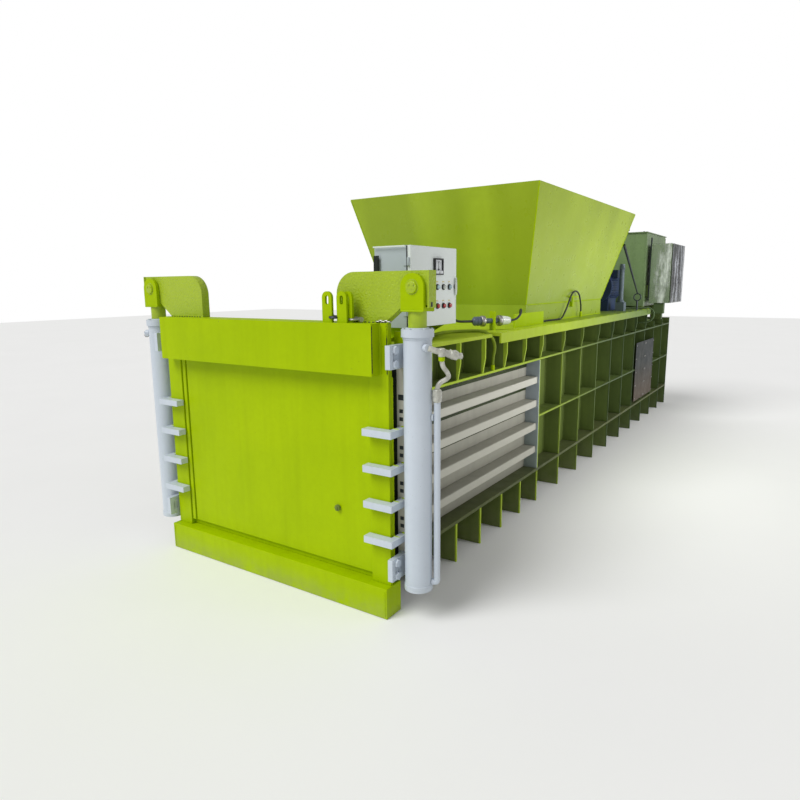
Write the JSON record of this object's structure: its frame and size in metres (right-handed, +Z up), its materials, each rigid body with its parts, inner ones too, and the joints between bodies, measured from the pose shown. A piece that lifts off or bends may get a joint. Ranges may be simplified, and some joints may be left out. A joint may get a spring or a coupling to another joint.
{
  "type": "horizontal recycling baler",
  "caption": "Horizontal recycling baler with a feed hopper, ribbed press chamber, wire slots, hydraulic ram and a lifting front gate.",
  "frame": {"origin": "centre of the front sill's underside, on the ground under the gate", "axes": "+Y runs from the gate to the power pack, +X is the cabinet side, +Z is up"},
  "size_m": [2.2097, 6.642, 2.276],
  "materials": {
    "green_paint": "satin yellow-green paint",
    "grey_paint": "satin light grey paint",
    "bar_paint": "satin warm grey paint",
    "cabinet_paint": "fine orange-peel powder coat",
    "bare_steel": "bare steel, slightly worn",
    "motor_paint": "dark blue paint",
    "red_plastic": "glossy red",
    "white_plastic": "glossy white",
    "black_plastic": "matt black",
    "black_rubber": "matt black rubber",
    "green_hose": "rubber hose painted over in green",
    "wrapped_hose": "hose wrapped in clear film",
    "cover_paint": "grey-blue paint"
  },
  "bodies": {
    "frame": {"front_sill": "green_paint", "floor_plate": "green_paint", "floor_cross_plates": "green_paint", "side_walls": "green_paint", "wire_bars": "bar_paint", "side_ribs": "green_paint", "side_shelves": "green_paint", "bale_end_plates": "grey_paint", "deck_plates": "green_paint", "deck_flanges": "green_paint", "front_ring": "grey_paint", "gate_claws": "grey_paint", "guide_blocks": "grey_paint", "guide_bolts": "bare_steel", "hopper": "green_paint", "hopper_collar": "green_paint", "shear_blade": "bare_steel", "main_barrel": "grey_paint", "main_cylinder_mounts": "grey_paint", "lift_barrels": "grey_paint", "lift_cylinder_mounts": "grey_paint", "lift_pipes": "grey_paint", "port_tee": "wrapped_hose", "cabinet_shell": "cabinet_paint", "cabinet_bracket": "green_paint", "oil_tank": "green_paint", "pump_motor": "motor_paint", "oil_pump": "black_plastic", "filter_column": "grey_paint", "cooler_box": "green_paint", "pack_stand": "green_paint", "rear_covers": "cover_paint", "hopper_stay": "bare_steel", "cable_coupling": "black_plastic", "deck_tabs": "green_paint", "deck_hose": "green_hose", "branch_hose": "wrapped_hose", "cabinet_cable": "black_rubber", "switch_cable": "black_rubber", "rear_cable": "black_rubber"},
    "gate": {"gate_leaf": "green_paint", "gate_panel": "green_paint", "gate_top_beam": "green_paint", "gate_lugs": "green_paint", "lift_arms": "green_paint", "lift_rods": "green_paint", "clevises": "green_paint"},
    "ram": {"ram_head": "green_paint", "ram_rod": "bare_steel"},
    "door": {"cabinet_door": "cabinet_paint", "meter_case": "black_plastic"},
    "needle": {"meter_needle": "red_plastic"},
    "handle": {"door_handle": "white_plastic"},
    "fan": {"cooler_fan": "black_plastic"},
    "start_button_1": {"start_button_1": "white_plastic"},
    "start_button_2": {"start_button_2": "white_plastic"},
    "start_button_3": {"start_button_3": "white_plastic"},
    "stop_button_1": {"stop_button_1": "red_plastic"},
    "stop_button_2": {"stop_button_2": "red_plastic"},
    "stop_button_3": {"stop_button_3": "red_plastic"}
  },
  "joints": [
    {"name": "gate_lift", "type": "slide", "parent": "frame", "child": "gate", "axis": [0, 0, 1], "range_m": [0, 1.1]},
    {"name": "ram_slide", "type": "slide", "parent": "frame", "child": "ram", "axis": [0, -1, 0], "range_m": [0, 2]},
    {"name": "door_swing", "type": "hinge", "parent": "frame", "child": "door", "pos_m": [0.69, 0.335, 1.589], "axis": [0, 0, -1], "range_deg": [0, 110]},
    {"name": "needle_turn", "type": "hinge", "parent": "door", "child": "needle", "pos_m": [0.708, 0.6057, 1.6788], "axis": [1, 0, 0], "range_deg": [-45, 45]},
    {"name": "handle_turn", "type": "hinge", "parent": "door", "child": "handle", "pos_m": [0.706, 0.796, 1.589], "axis": [1, 0, 0], "range_deg": [0, 90]},
    {"name": "fan_spin", "type": "hinge", "parent": "frame", "child": "fan", "pos_m": [0.97, 5.613, 1.6975], "axis": [1, 0, 0], "continuous": true},
    {"name": "start_press_1", "type": "slide", "parent": "door", "child": "start_button_1", "axis": [-1, 0, 0], "range_m": [0, 0.005], "stiffness_N_per_m": 300},
    {"name": "start_press_2", "type": "slide", "parent": "door", "child": "start_button_2", "axis": [-1, 0, 0], "range_m": [0, 0.005], "stiffness_N_per_m": 300},
    {"name": "start_press_3", "type": "slide", "parent": "door", "child": "start_button_3", "axis": [-1, 0, 0], "range_m": [0, 0.005], "stiffness_N_per_m": 300},
    {"name": "stop_press_1", "type": "slide", "parent": "door", "child": "stop_button_1", "axis": [-1, 0, 0], "range_m": [0, 0.005], "stiffness_N_per_m": 300},
    {"name": "stop_press_2", "type": "slide", "parent": "door", "child": "stop_button_2", "axis": [-1, 0, 0], "range_m": [0, 0.005], "stiffness_N_per_m": 300},
    {"name": "stop_press_3", "type": "slide", "parent": "door", "child": "stop_button_3", "axis": [-1, 0, 0], "range_m": [0, 0.005], "stiffness_N_per_m": 300}
  ]
}
